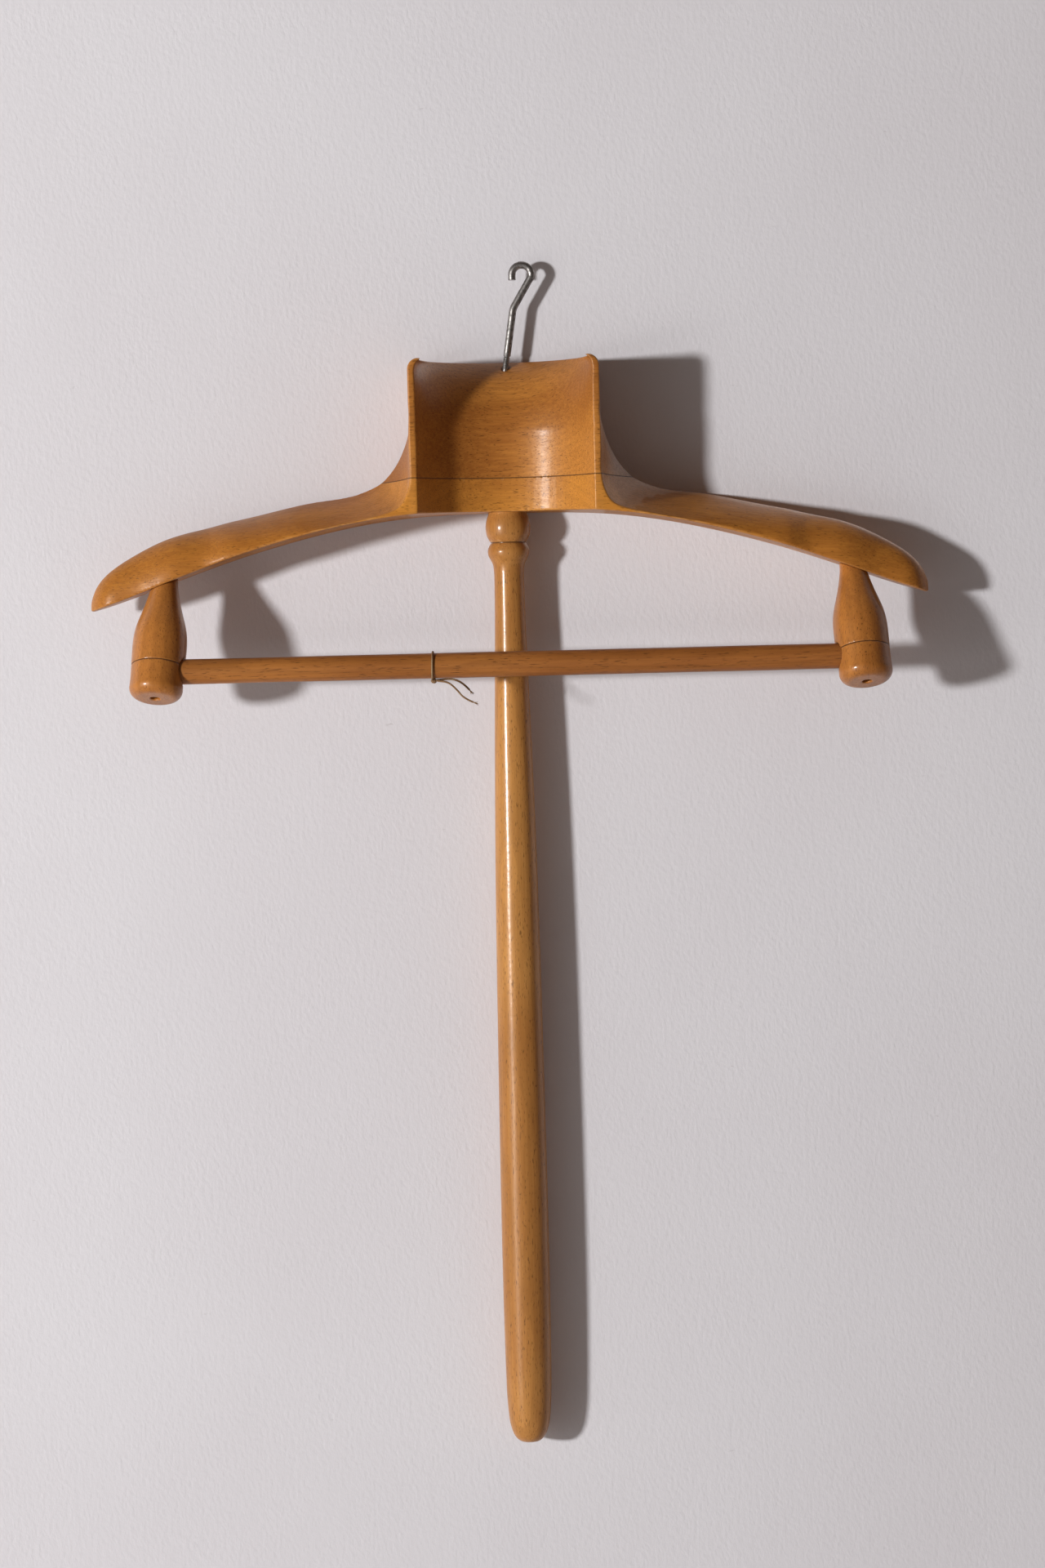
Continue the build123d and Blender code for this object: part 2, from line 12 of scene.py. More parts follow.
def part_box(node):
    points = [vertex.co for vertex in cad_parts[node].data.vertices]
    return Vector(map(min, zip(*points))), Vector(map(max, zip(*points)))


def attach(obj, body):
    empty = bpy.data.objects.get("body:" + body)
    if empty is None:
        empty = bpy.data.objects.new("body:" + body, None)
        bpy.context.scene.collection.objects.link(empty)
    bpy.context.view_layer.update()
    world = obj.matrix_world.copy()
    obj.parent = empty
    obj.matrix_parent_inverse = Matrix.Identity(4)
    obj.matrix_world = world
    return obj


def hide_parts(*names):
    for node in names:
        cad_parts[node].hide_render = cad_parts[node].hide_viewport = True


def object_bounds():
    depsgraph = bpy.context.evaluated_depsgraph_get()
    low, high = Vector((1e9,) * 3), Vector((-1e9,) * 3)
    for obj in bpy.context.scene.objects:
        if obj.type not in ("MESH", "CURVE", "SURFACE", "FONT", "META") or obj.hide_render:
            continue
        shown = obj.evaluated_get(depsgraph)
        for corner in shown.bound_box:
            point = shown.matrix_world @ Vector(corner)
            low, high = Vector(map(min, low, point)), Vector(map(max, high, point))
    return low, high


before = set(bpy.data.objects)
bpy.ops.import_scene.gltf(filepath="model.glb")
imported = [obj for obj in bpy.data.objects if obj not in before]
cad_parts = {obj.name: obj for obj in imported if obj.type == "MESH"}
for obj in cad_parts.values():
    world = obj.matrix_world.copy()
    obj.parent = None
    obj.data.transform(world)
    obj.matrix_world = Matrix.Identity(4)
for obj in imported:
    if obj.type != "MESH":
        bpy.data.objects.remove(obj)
cad_low, cad_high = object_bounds()

# ---------------------------------------------------------------- places from the frame
beam_low, beam_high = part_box("shoulder_beam")
stem_low, stem_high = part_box("stem")
bar_low, bar_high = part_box("trouser_bar")

MM = 0.001
BEAM_RISE = 0.018         # the glue line stands this far above the top of the arch
MIDDLE = (beam_low.x + beam_high.x) / 2
GLUE_LINE = beam_high.z
ARCH = GLUE_LINE - BEAM_RISE
WALL = cad_high.y
STEM_AXIS = (stem_low.y + stem_high.y) / 2
BAR_RADIUS = (bar_high.z - bar_low.z) / 2
BAR_Y = (bar_low.y + bar_high.y) / 2
BAR_Z = (bar_low.z + bar_high.z) / 2
# the hook's neck: where it enters the wood, and its direction
HOOK_FOOT = Vector((-0.00962858, 0, -0.0515479))
HOOK_UP = Vector((0.151261, 0, 0.988494)).normalized()


# ---------------------------------------------------------------- small helpers for meshes
def finished(shape, name, material, body, smooth=True):
    """A bmesh made into an object that rides on a body."""
    mesh = bpy.data.meshes.new(name)
    shape.to_mesh(mesh)
    shape.free()
    mesh.materials.append(material)
    for polygon in mesh.polygons:
        polygon.use_smooth = smooth
    piece = bpy.data.objects.new(name, mesh)
    bpy.context.collection.objects.link(piece)
    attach(piece, body)
    return piece


def with_modifiers(shape, add_modifiers):
    """The bmesh after the modifiers that add_modifiers puts on it."""
    mesh = bpy.data.meshes.new("blank")
    shape.to_mesh(mesh)
    shape.free()
    blank = bpy.data.objects.new("blank", mesh)
    bpy.context.collection.objects.link(blank)
    add_modifiers(blank)
    depsgraph = bpy.context.evaluated_depsgraph_get()
    result = bpy.data.meshes.new_from_object(blank.evaluated_get(depsgraph), depsgraph=depsgraph)
    bpy.data.objects.remove(blank)
    after = bmesh.new()
    after.from_mesh(result)
    bpy.data.meshes.remove(result)
    return after


def merged_copy(*nodes):
    """The meshes of CAD nodes in one bmesh, with their loose triangles joined up."""
    shape = bmesh.new()
    for node in nodes:
        shape.from_mesh(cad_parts[node].data)
    bmesh.ops.remove_doubles(shape, verts=shape.verts, dist=2e-6)
    bmesh.ops.recalc_face_normals(shape, faces=shape.faces)
    return shape


def rounded(shape, voxel, passes):
    """The solid made again in even small faces, and its edges softened by a few smoothing passes."""
    def remesh(blank):
        modifier = blank.modifiers.new("even faces", "REMESH")
        modifier.mode = "VOXEL"
        modifier.voxel_size = voxel

    shape = with_modifiers(shape, remesh)
    for _ in range(passes):
        bmesh.ops.smooth_vert(
            shape, verts=shape.verts, factor=0.5,
            use_axis_x=True, use_axis_y=True, use_axis_z=True,
        )
    return shape


def thinned(shape, most):
    """The shape with at most so many triangles, taken out where it is flattest."""
    count = sum(len(face.verts) - 2 for face in shape.faces)
    if count <= most:
        return shape

    def decimate(blank):
        modifier = blank.modifiers.new("fewer faces", "DECIMATE")
        modifier.ratio = most / count

    return with_modifiers(shape, decimate)


def cut_at(shape, height, keep_above):
    """The part of a closed shape above or below a level plane, closed again."""
    bmesh.ops.bisect_plane(
        shape, geom=shape.verts[:] + shape.edges[:] + shape.faces[:], dist=1e-7,
        plane_co=(0, 0, height), plane_no=(0, 0, 1),
        clear_inner=keep_above, clear_outer=not keep_above,
    )
    rim = [edge for edge in shape.edges if edge.is_boundary]
    bmesh.ops.holes_fill(shape, edges=rim, sides=0)
    bmesh.ops.recalc_face_normals(shape, faces=shape.faces)
    return shape


def turned(outline, steps):
    """A turning on the Z axis, from points (radius, height) listed from bottom to top."""
    shape = bmesh.new()
    verts = [shape.verts.new((radius, 0, height)) for radius, height in outline]
    edges = [shape.edges.new(pair) for pair in zip(verts, verts[1:])]
    bmesh.ops.spin(
        shape, geom=verts + edges, cent=(0, 0, 0), axis=(0, 0, 1), angle=2 * pi, steps=steps,
        use_merge=True,
    )
    bmesh.ops.remove_doubles(shape, verts=shape.verts, dist=1e-6)
    bmesh.ops.recalc_face_normals(shape, faces=shape.faces)
    return shape


# ---------------------------------------------------------------- small helpers for materials
def add(tree, kind, inputs=None, **settings):
    """A node with its settings and the plain values of its inputs."""
    node = tree.nodes.new(kind)
    for key, value in settings.items():
        setattr(node, key, value)
    for key, value in (inputs or {}).items():
        node.inputs[key].default_value = value
    return node


def join(tree, source, target):
    """A link from one socket to another."""
    tree.links.new(source, target)


def maths(tree, operation, first, second=None):
    """A Math node; first and second are sockets or plain numbers."""
    node = add(tree, "ShaderNodeMath", operation=operation)
    for socket, value in zip(node.inputs, (first, second)):
        if isinstance(value, bpy.types.NodeSocket):
            join(tree, value, socket)
        elif value is not None:
            socket.default_value = value
    return node.outputs[0]


def spread(tree, value, low, high, to_low=0.0, to_high=1.0):
    """A value mapped smoothly from one range to another and held inside it."""
    node = add(
        tree, "ShaderNodeMapRange",
        {"From Min": low, "From Max": high, "To Min": to_low, "To Max": to_high},
        interpolation_type="SMOOTHSTEP",
    )
    join(tree, value, node.inputs["Value"])
    return node.outputs["Result"]


def blend_colours(tree, mask, first, second, strength=1.0):
    """Two colours mixed by a mask; each is a socket or a plain colour."""
    node = add(tree, "ShaderNodeMix", data_type="RGBA", clamp_factor=True)
    factor, one, two = node.inputs[0], node.inputs[6], node.inputs[7]
    join(tree, maths(tree, "MULTIPLY", mask, strength), factor)
    for socket, value in ((one, first), (two, second)):
        if isinstance(value, bpy.types.NodeSocket):
            join(tree, value, socket)
        else:
            socket.default_value = value
    return node.outputs[2]


def noise(tree, vector, stretch, detail=2.0, roughness=0.5):
    """Noise with so many features to the metre along each axis."""
    place = add(tree, "ShaderNodeMapping", {"Scale": stretch})
    join(tree, vector, place.inputs["Vector"])
    node = add(
        tree, "ShaderNodeTexNoise",
        {"Scale": 1.0, "Detail": detail, "Roughness": roughness},
    )
    join(tree, place.outputs[0], node.inputs["Vector"])
    return node.outputs["Fac"]


def new_group(name, inputs, outputs):
    """A shader node group; inputs are (name, kind, value) and outputs (name, kind)."""
    group = bpy.data.node_groups.new(name, "ShaderNodeTree")
    kinds = {"number": "NodeSocketFloat", "vector": "NodeSocketVector", "colour": "NodeSocketColor"}
    for label, kind, value in inputs:
        socket = group.interface.new_socket(label, in_out="INPUT", socket_type=kinds[kind])
        if value is not None:
            socket.default_value = value
    for label, kind in outputs:
        group.interface.new_socket(label, in_out="OUTPUT", socket_type=kinds[kind])
    return group, group.nodes.new("NodeGroupInput"), group.nodes.new("NodeGroupOutput")


def use_group(tree, group, vector, values=None):
    """A node group at work on a vector, with the plain values of its other inputs."""
    node = add(tree, "ShaderNodeGroup", node_tree=group)
    join(tree, vector, node.inputs["Vector"])
    for key, value in (values or {}).items():
        node.inputs[key].default_value = value
    return node


def new_material(name):
    """An empty material with its surface shader joined up."""
    material = bpy.data.materials.new(name)
    material.use_nodes = True
    material.node_tree.nodes.clear()
    tree = material.node_tree
    surface = add(tree, "ShaderNodeBsdfPrincipled")
    out = add(tree, "ShaderNodeOutputMaterial")
    join(tree, surface.outputs[0], out.inputs["Surface"])
    return material, tree, surface


def bump(tree, height, distance, before=None):
    """A bump as deep as distance, laid over the one before it."""
    node = add(tree, "ShaderNodeBump", {"Strength": 1.0, "Distance": distance})
    join(tree, height, node.inputs["Height"])
    if before is not None:
        join(tree, before, node.inputs["Normal"])
    return node.outputs[0]


# ---------------------------------------------------------------- effects shared by the woods
def make_beech_grain():
    """Beech in the round, with the grain along X: growth rings about the X axis, fine streaks,
    short dark flecks and pores, and slow changes of tone."""
    tree, given, made = new_group(
        "beech_grain",
        [
            ("Vector", "vector", None),
            ("Ring Width", "number", 0.0035),
            ("Fleck Length", "number", 0.003),
        ],
        [("Rings", "number"), ("Streaks", "number"), ("Flecks", "number"), ("Clouds", "number")],
    )
    vector = given.outputs["Vector"]
    clouds = noise(tree, vector, (9, 22, 22), detail=3)
    sway = noise(tree, vector, (14, 30, 30), detail=2)
    split = add(tree, "ShaderNodeSeparateXYZ")
    join(tree, vector, split.inputs[0])
    squares = [maths(tree, "POWER", split.outputs[axis], 2.0) for axis in (1, 2)]
    distance = maths(tree, "SQRT", maths(tree, "ADD", *squares))
    wavy = maths(tree, "ADD", distance, maths(tree, "MULTIPLY", sway, 0.012))
    turns = maths(tree, "DIVIDE", wavy, given.outputs["Ring Width"])
    saw = maths(tree, "FRACT", turns)
    late = spread(tree, saw, 0.25, 0.85)
    early = spread(tree, saw, 0.92, 1.0, 1.0, 0.0)
    join(tree, maths(tree, "MULTIPLY", late, early), made.inputs["Rings"])
    streaks = noise(tree, vector, (30, 900, 900), detail=3, roughness=0.6)
    join(tree, streaks, made.inputs["Streaks"])
    per_metre = maths(tree, "DIVIDE", 1.0, given.outputs["Fleck Length"])
    stretch = add(tree, "ShaderNodeCombineXYZ", {"Y": 1900.0, "Z": 1900.0})
    join(tree, per_metre, stretch.inputs["X"])
    scaled = add(tree, "ShaderNodeVectorMath", operation="MULTIPLY")
    join(tree, vector, scaled.inputs[0])
    join(tree, stretch.outputs[0], scaled.inputs[1])
    fine = add(tree, "ShaderNodeTexNoise", {"Scale": 1.0, "Detail": 1.0, "Roughness": 0.4})
    join(tree, scaled.outputs[0], fine.inputs["Vector"])
    join(tree, spread(tree, fine.outputs["Fac"], 0.60, 0.74), made.inputs["Flecks"])
    join(tree, clouds, made.inputs["Clouds"])
    return tree


def make_wear_and_painted_light():
    """Where handling has rubbed the edges pale, which also paints a highlight along them, and
    painted shade in the concave creases.
    """
    tree, given, made = new_group(
        "wear_and_painted_light",
        [("Vector", "vector", None), ("Start", "number", 0.515), ("Full", "number", 0.56)],
        [("Rubbed And Highlit", "number"), ("Painted Crease Shade", "number")],
    )
    point = add(tree, "ShaderNodeNewGeometry").outputs["Pointiness"]
    patchy = noise(tree, given.outputs["Vector"], (110, 110, 110), detail=3)
    # convex edges: pale worn wood that also stands in as a painted highlight along them
    edge = add(tree, "ShaderNodeMapRange", interpolation_type="SMOOTHSTEP")
    join(tree, point, edge.inputs["Value"])
    join(tree, given.outputs["Start"], edge.inputs["From Min"])
    join(tree, given.outputs["Full"], edge.inputs["From Max"])
    uneven = spread(tree, patchy, 0.35, 0.6, 0.35, 1.0)
    worn = maths(tree, "MULTIPLY", edge.outputs["Result"], uneven)
    join(tree, worn, made.inputs["Rubbed And Highlit"])
    # low pointiness, the concave creases: painted shade
    join(tree, spread(tree, point, 0.49, 0.43), made.inputs["Painted Crease Shade"])
    return tree


def make_varnish_surface():
    """The lacquer's slight waviness, its brush ripple and a few specks of dust under it."""
    tree, given, made = new_group(
        "varnish_surface",
        [("Vector", "vector", None)],
        [("Height", "number"), ("Specks", "number")],
    )
    vector = given.outputs["Vector"]
    wave = noise(tree, vector, (260, 260, 260), detail=2)
    ripple = noise(tree, vector, (1500, 1500, 1500), detail=1)
    total = maths(tree, "ADD", wave, maths(tree, "MULTIPLY", ripple, 0.22))
    join(tree, total, made.inputs["Height"])
    dots = add(tree, "ShaderNodeTexVoronoi", {"Scale": 120.0, "Randomness": 1.0}, feature="F1")
    join(tree, vector, dots.inputs["Vector"])
    few = maths(tree, "GREATER_THAN", noise(tree, vector, (40, 40, 40)), 0.58)
    dot = spread(tree, dots.outputs["Distance"], 0.05, 0.08, 1.0, 0.0)
    join(tree, maths(tree, "MULTIPLY", dot, few), made.inputs["Specks"])
    return tree


BEECH_GRAIN = make_beech_grain()
WEAR_AND_PAINTED_LIGHT = make_wear_and_painted_light()
VARNISH = make_varnish_surface()


def from_middle(tree, place):
    """How far out from the middle a place is on either side, and the node that splits it up."""
    split = add(tree, "ShaderNodeSeparateXYZ")
    join(tree, place, split.inputs[0])
    return maths(tree, "ABSOLUTE", maths(tree, "SUBTRACT", split.outputs["X"], MIDDLE)), split


def distance_to_joint(tree, place, point, normal):
    """How far a place is from the plane of a joint, with both sides of the middle alike."""
    outward, split = from_middle(tree, place)
    folded = add(tree, "ShaderNodeCombineXYZ")
    join(tree, outward, folded.inputs["X"])
    join(tree, split.outputs["Y"], folded.inputs["Y"])
    join(tree, split.outputs["Z"], folded.inputs["Z"])
    away = add(tree, "ShaderNodeVectorMath", {1: point}, operation="SUBTRACT")
    join(tree, folded.outputs[0], away.inputs[0])
    along = add(tree, "ShaderNodeVectorMath", {1: normal}, operation="DOT_PRODUCT")
    join(tree, away.outputs[0], along.inputs[0])
    return maths(tree, "ABSOLUTE", along.outputs["Value"])


# pale wood on convex edges: partly wear and partly a painted highlight
RUBBED_WOOD_AND_HIGHLIGHT = (0.72, 0.44, 0.20, 1)
# painted shade for the concave creases
CREASE_PAINTED_SHADE = (0.05, 0.02, 0.008, 1)
SPECK = (0.03, 0.014, 0.006, 1)
SEAM_SHADE = (0.06, 0.022, 0.008, 1)
# painted shade round the mouth of the hook's hole
HOLE_PAINTED_SHADE = (0.05, 0.010, 0.004, 1)
SHEEN_TINT = (1.0, 0.72, 0.48, 1)


def darker(colour, share):
    """A colour with only a share of its light."""
    return tuple(share * channel for channel in colour[:3]) + (1,)


def beech(
    name, pale, deep, pith, turn=(0, 0, 0), ring_width=0.0035, ring_strength=0.25,
    fleck_length=0.003, fleck_strength=0.75, coat=0.13, coat_roughness=0.24, roughness=0.4,
    sheen=0.3, rubbed_and_highlight_strength=0.3, seam=None, hole=None, dull_flare=False,
):
    """Varnished beech. pith is a point on the axis of its rings and turn rotates the grain from X.

    seam is a point and the normal of a joint whose edge shows dark, the same on both sides of
    the middle. hole is a point and the radius of painted shade round the mouth of a hole there.
    dull_flare takes the polish off the hollow curves beside the collar, which no cloth rubs.
    """
    material, tree, surface = new_material(name)
    place = add(tree, "ShaderNodeTexCoord").outputs["Object"]
    moved = add(tree, "ShaderNodeVectorMath", {1: pith}, operation="SUBTRACT")
    join(tree, place, moved.inputs[0])
    grain_place = add(tree, "ShaderNodeMapping", {"Rotation": turn})
    join(tree, moved.outputs[0], grain_place.inputs["Vector"])
    grain = use_group(
        tree, BEECH_GRAIN, grain_place.outputs[0],
        {"Ring Width": ring_width, "Fleck Length": fleck_length},
    )
    # pale rubbed edges, partly wear and partly painted highlight, and painted shade in the concave
    # creases
    wear = use_group(tree, WEAR_AND_PAINTED_LIGHT, place)
    lacquer = use_group(tree, VARNISH, place)

    tone = maths(
        tree, "ADD",
        maths(tree, "MULTIPLY", spread(tree, grain.outputs["Clouds"], 0.36, 0.62), 0.65),
        maths(tree, "MULTIPLY", spread(tree, grain.outputs["Streaks"], 0.3, 0.7), 0.45),
    )
    colour = blend_colours(tree, tone, pale, deep)
    layers = [
        (grain.outputs["Rings"], darker(deep, 0.62), ring_strength),
        (grain.outputs["Flecks"], darker(deep, 0.35), fleck_strength),
        # convex edges made paler: wear together with a painted highlight
        (wear.outputs["Rubbed And Highlit"], RUBBED_WOOD_AND_HIGHLIGHT, rubbed_and_highlight_strength),
        # concave creases darkened: painted shade
        (wear.outputs["Painted Crease Shade"], CREASE_PAINTED_SHADE, 0.6),
        (lacquer.outputs["Specks"], SPECK, 0.5),
    ]
    if seam is not None:
        line = spread(tree, distance_to_joint(tree, place, *seam), 0.00012, 0.0005, 1.0, 0.0)
        layers.append((line, SEAM_SHADE, 0.75))
    # painted shade darkening the wood round the mouth of a hole
    if hole is not None:
        point, radius = hole
        reach = add(tree, "ShaderNodeVectorMath", {1: point}, operation="DISTANCE")
        join(tree, place, reach.inputs[0])
        mouth = spread(tree, reach.outputs["Value"], radius, 1.5 * radius, 1.0, 0.0)
        layers.append((mouth, HOLE_PAINTED_SHADE, 0.9))
    for mask, shade, strength in layers:
        colour = blend_colours(tree, mask, colour, shade, strength=strength)
    join(tree, colour, surface.inputs["Base Color"])
    dull = maths(tree, "MULTIPLY", wear.outputs["Rubbed And Highlit"], 0.12)
    streaky = spread(
        tree, grain.outputs["Streaks"], 0.2, 0.8, roughness - 0.06, roughness + 0.06
    )
    join(tree, maths(tree, "ADD", streaky, dull), surface.inputs["Roughness"])
    if dull_flare:
        outward = from_middle(tree, place)[0]
        near = spread(tree, outward, 0.0500, 0.0530, 1.0, 0.12)
        far = spread(tree, outward, 0.095, 0.16)
        polish = maths(tree, "MAXIMUM", near, maths(tree, "MULTIPLY", far, 0.8))
        join(tree, maths(tree, "MULTIPLY", polish, coat), surface.inputs["Coat Weight"])
        join(tree, maths(tree, "MULTIPLY", polish, sheen), surface.inputs["Specular IOR Level"])
    else:
        surface.inputs["Coat Weight"].default_value = coat
        surface.inputs["Specular IOR Level"].default_value = sheen
    surface.inputs["Coat Roughness"].default_value = coat_roughness
    surface.inputs["Coat IOR"].default_value = 1.45
    surface.inputs["Specular Tint"].default_value = SHEEN_TINT
    pores = maths(tree, "SUBTRACT", 1.0, grain.outputs["Flecks"])
    wavy = bump(tree, lacquer.outputs["Height"], 0.00006)
    grained = bump(tree, grain.outputs["Streaks"], 0.00005, before=wavy)
    normal = bump(tree, pores, 0.00004, before=grained)
    join(tree, normal, surface.inputs["Normal"])
    join(tree, wavy, surface.inputs["Coat Normal"])
    return material


def steel(name, colour, scale, roughness):
    """Dull drawn wire: faint drawing lines and a mottled, slightly tarnished skin."""
    material, tree, surface = new_material(name)
    place = add(tree, "ShaderNodeTexCoord").outputs["Object"]
    mottled = noise(tree, place, (scale, scale, scale), detail=4)
    lines = noise(tree, place, (4000, 4000, 120), detail=2)
    tarnish = spread(tree, mottled, 0.4, 0.68)
    shade = blend_colours(tree, tarnish, colour, darker(colour, 0.45))
    join(tree, shade, surface.inputs["Base Color"])
    surface.inputs["Metallic"].default_value = 1.0
    drawn = spread(tree, lines, 0.3, 0.7, roughness - 0.05, roughness + 0.08)
    dull = maths(tree, "MULTIPLY", tarnish, 0.18)
    join(tree, maths(tree, "ADD", drawn, dull), surface.inputs["Roughness"])
    join(tree, bump(tree, lines, 0.00003), surface.inputs["Normal"])
    return material


def twine():
    """Brown cotton twine: painted shade between the strands and a painted highlight on their tops,
    mixed by fine noise.
    """
    material, tree, surface = new_material("brown_twine")
    place = add(tree, "ShaderNodeTexCoord").outputs["Object"]
    fibres = noise(tree, place, (2600, 2600, 2600), detail=3)
    patches = noise(tree, place, (160, 160, 160), detail=2)
    shaded_hollows, lit_crowns, faded = (0.10, 0.045, 0.018, 1), (0.32, 0.18, 0.08, 1), (0.40, 0.28, 0.15, 1)
    # painted shade low in the bump and painted highlight high on it, by the same fine noise
    colour = blend_colours(tree, spread(tree, fibres, 0.3, 0.7), shaded_hollows, lit_crowns)
    colour = blend_colours(tree, spread(tree, patches, 0.5, 0.7), colour, faded, strength=0.5)
    join(tree, colour, surface.inputs["Base Color"])
    surface.inputs["Roughness"].default_value = 0.9
    join(tree, bump(tree, fibres, 0.0001), surface.inputs["Normal"])
    return material


def wall_paint():
    """Matt white wall paint with the fine orange-peel of a roller, seen through from behind."""
    material, tree, surface = new_material("wall_paint")
    place = add(tree, "ShaderNodeTexCoord").outputs["Object"]
    stipple = noise(tree, place, (520, 520, 300), detail=3)
    drift = noise(tree, place, (5, 5, 4), detail=3)
    marks = noise(tree, place, (70, 70, 220), detail=4, roughness=0.7)
    fresh, aged, scuffed = (0.70, 0.665, 0.68, 1), (0.675, 0.635, 0.65, 1), (0.45, 0.40, 0.40, 1)
    colour = blend_colours(tree, spread(tree, drift, 0.3, 0.7), fresh, aged)
    colour = blend_colours(tree, spread(tree, marks, 0.70, 0.78), colour, scuffed, strength=0.5)
    join(tree, colour, surface.inputs["Base Color"])
    surface.inputs["Roughness"].default_value = 0.75
    join(tree, bump(tree, stipple, 0.00022), surface.inputs["Normal"])
    out = next(node for node in tree.nodes if node.type == "OUTPUT_MATERIAL")
    see_through = add(tree, "ShaderNodeMixShader")
    join(tree, add(tree, "ShaderNodeNewGeometry").outputs["Backfacing"], see_through.inputs[0])
    join(tree, surface.outputs[0], see_through.inputs[1])
    join(tree, add(tree, "ShaderNodeBsdfTransparent").outputs[0], see_through.inputs[2])
    join(tree, see_through.outputs[0], out.inputs["Surface"])
    return material


def floor_paint():
    """Pale floor, nearly plain."""
    material, tree, surface = new_material("floor_paint")
    place = add(tree, "ShaderNodeTexCoord").outputs["Object"]
    drift = noise(tree, place, (6, 6, 6), detail=3)
    colour = blend_colours(tree, drift, (0.66, 0.64, 0.62, 1), (0.72, 0.70, 0.68, 1))
    join(tree, colour, surface.inputs["Base Color"])
    surface.inputs["Roughness"].default_value = 0.6
    return material


# ---------------------------------------------------------------- finishes
# the collar's rings lie about an axis inside it, so they show on the hollow face as long ovals
COLLAR_PITH = (MIDDLE + 0.006, cad_high.y - 0.026, ARCH + 0.060)
BEAM_PITH = (MIDDLE, cad_high.y + 0.030, ARCH - 0.120)
UPRIGHT = (0, radians(90), 0)

GLUE_JOINT = ((0, 0, GLUE_LINE), (0, 0, 1))
CUT_LINE = ((0, 0, ARCH - 0.0163), (0, 0, 1))
LEAN_OUT, LEAN_FORWARD = radians(4.1), radians(20.5)
POST_OUT = 0.18763        # from the middle to a post, at the height of the rail
SEAM_ABOVE_RAIL = 0.0029
post_up = Vector((-sin(LEAN_OUT), sin(LEAN_FORWARD), 0))
post_up.z = (1 - post_up.length_squared) ** 0.5
CAP_SEAM = (Vector((POST_OUT, BAR_Y, BAR_Z)) + SEAM_ABOVE_RAIL * post_up, post_up)

collar_beech = beech(
    "collar_beech", (0.54, 0.212, 0.040, 1), (0.32, 0.108, 0.020, 1), COLLAR_PITH,
    turn=(0, radians(2), 0), ring_width=0.0034, ring_strength=0.12, seam=GLUE_JOINT,
    hole=(HOOK_FOOT, 0.0026), dull_flare=True,
)
beam_beech = beech(
    "beam_beech", (0.58, 0.232, 0.038, 1), (0.37, 0.130, 0.022, 1), BEAM_PITH,
    turn=(0, radians(-1.5), 0), ring_width=0.007, ring_strength=0.12, seam=GLUE_JOINT,
    dull_flare=True,
)
stem_beech = beech(
    "stem_beech", (0.53, 0.24, 0.062, 1), (0.39, 0.155, 0.036, 1),
    (MIDDLE + 0.020, STEM_AXIS + 0.055, 0), turn=UPRIGHT, ring_width=0.0055, ring_strength=0.2,
    coat=0.4, coat_roughness=0.2, seam=CUT_LINE,
)
post_beech = beech(
    "post_beech", (0.46, 0.17, 0.034, 1), (0.32, 0.105, 0.02, 1),
    (MIDDLE, BAR_Y - 0.040, 0), turn=UPRIGHT, ring_width=0.006, ring_strength=0.2,
    coat=0.5, coat_roughness=0.18, rubbed_and_highlight_strength=0.1, seam=CAP_SEAM,
)
rail_beech = beech(
    "rail_beech", (0.42, 0.155, 0.034, 1), (0.28, 0.092, 0.02, 1),
    (0, BAR_Y + 0.030, BAR_Z - 0.020), ring_width=0.004, ring_strength=0.28,
    fleck_length=0.0045, fleck_strength=0.75, coat=0.15, coat_roughness=0.35, roughness=0.52,
)
bare_beech = beech(
    "bare_beech", (0.62, 0.45, 0.28, 1), (0.52, 0.36, 0.22, 1), (0, 0, 0), turn=UPRIGHT,
    coat=0.0, roughness=0.65,
)
hook_steel = steel("hook_steel", (0.36, 0.33, 0.31, 1), 500, 0.36)
screw_steel = steel("screw_steel", (0.30, 0.28, 0.26, 1), 700, 0.42)
brown_twine = twine()


# ---------------------------------------------------------------- carved collar and arms
def make_carved_wood():
    """The collar and arms carved as one, softened by wear, then parted again at the glue line."""
    blank = merged_copy("shoulder_beam", "collar_block")
    # a plug closes the hole for the stem's tenon, which would otherwise be carried through
    plug_radius, plug_height, plug_foot = 6.3 * MM, 27.5 * MM, ARCH + 0.6 * MM
    bmesh.ops.create_cone(
        blank, cap_ends=True, segments=48, radius1=plug_radius, radius2=plug_radius,
        depth=plug_height,
        matrix=Matrix.Translation((MIDDLE, STEM_AXIS, plug_foot + plug_height / 2)),
    )
    most = 180_000
    whole = thinned(rounded(blank, voxel=0.6 * MM, passes=4), 2 * most)
    gap = 0.03 * MM
    parts = (
        ("carved_collar", "collar_block", collar_beech, GLUE_LINE + gap, True),
        ("carved_arms", "shoulder_beam", beam_beech, GLUE_LINE - gap, False),
    )
    for name, node, material, height, keep_above in parts:
        shape = thinned(cut_at(whole.copy(), height, keep_above), most)
        piece = finished(shape, name, material, "frame")
        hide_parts(node)
    whole.free()


# ---------------------------------------------------------------- turnings
def through(points, per_span):
    """A smooth line through 2-D points, with so many steps from one to the next."""
    line = []
    for index in range(len(points) - 1):
        before = Vector(points[max(index - 1, 0)])
        start, end = Vector(points[index]), Vector(points[index + 1])
        after = Vector(points[min(index + 2, len(points) - 1)])
        for step in range(per_span):
            t = step / per_span
            line.append(
                0.5 * (2 * start + (end - before) * t
                       + (2 * before - 5 * start + 4 * end - after) * t**2
                       + (3 * start - before - 3 * end + after) * t**3)
            )
    return line + [Vector(points[-1])]


